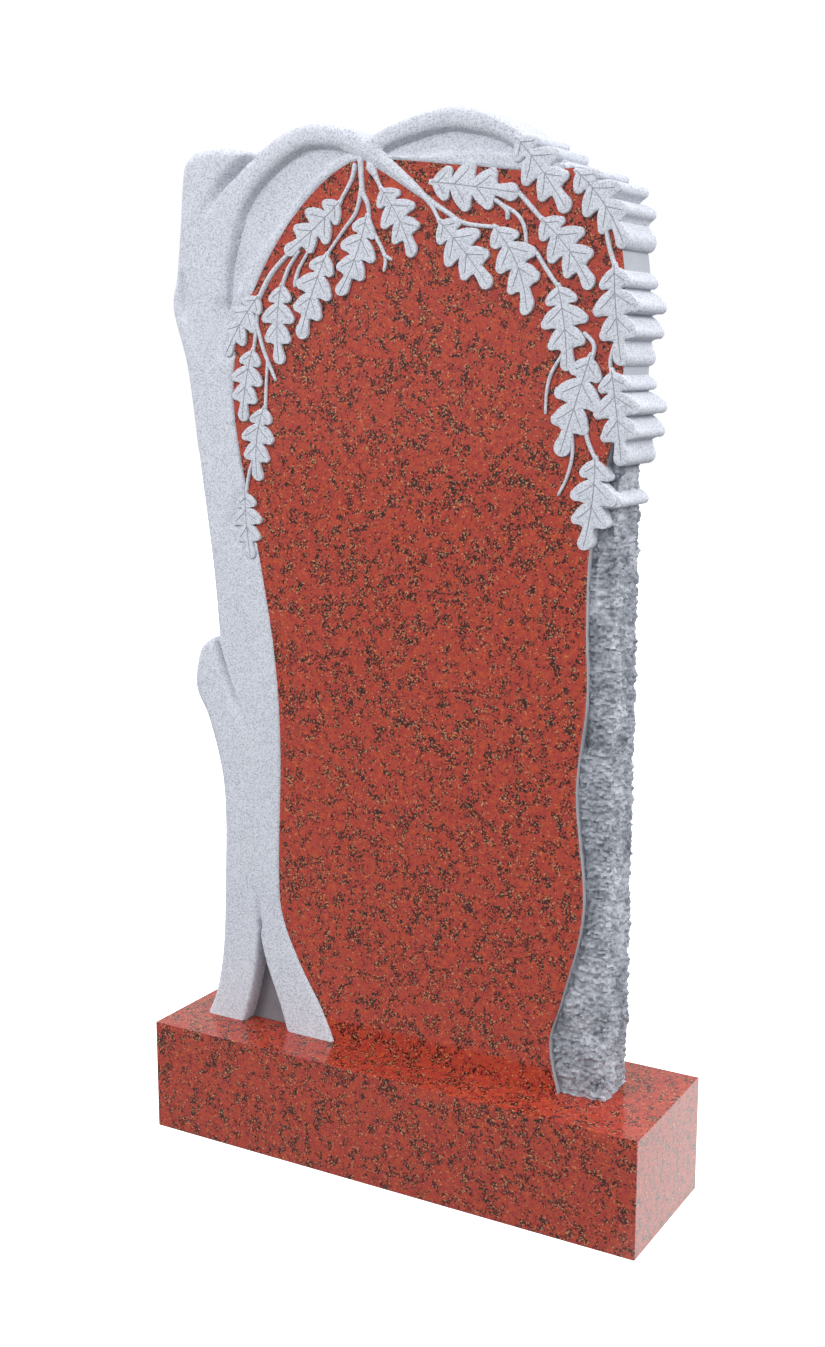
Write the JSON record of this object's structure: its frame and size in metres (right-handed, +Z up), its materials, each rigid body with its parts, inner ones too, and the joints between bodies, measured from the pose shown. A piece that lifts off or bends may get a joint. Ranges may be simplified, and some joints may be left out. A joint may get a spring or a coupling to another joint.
{
  "type": "carved headstone",
  "caption": "Upright granite headstone carved as an oak tree over a polished panel, with a split rock edge, standing on a rectangular plinth.",
  "frame": {"origin": "middle of the plinth's underside", "axes": "+Z up, +X along the front from the tree trunk to the split rock edge, +Y from the carved front to the back"},
  "size_m": [0.7, 0.2, 1.315],
  "materials": {
    "red_granite": "polished",
    "dressed_granite": "matte"
  },
  "bodies": {
    "root": {"plinth": "red_granite", "stele": "dressed_granite"}
  },
  "joints": []
}
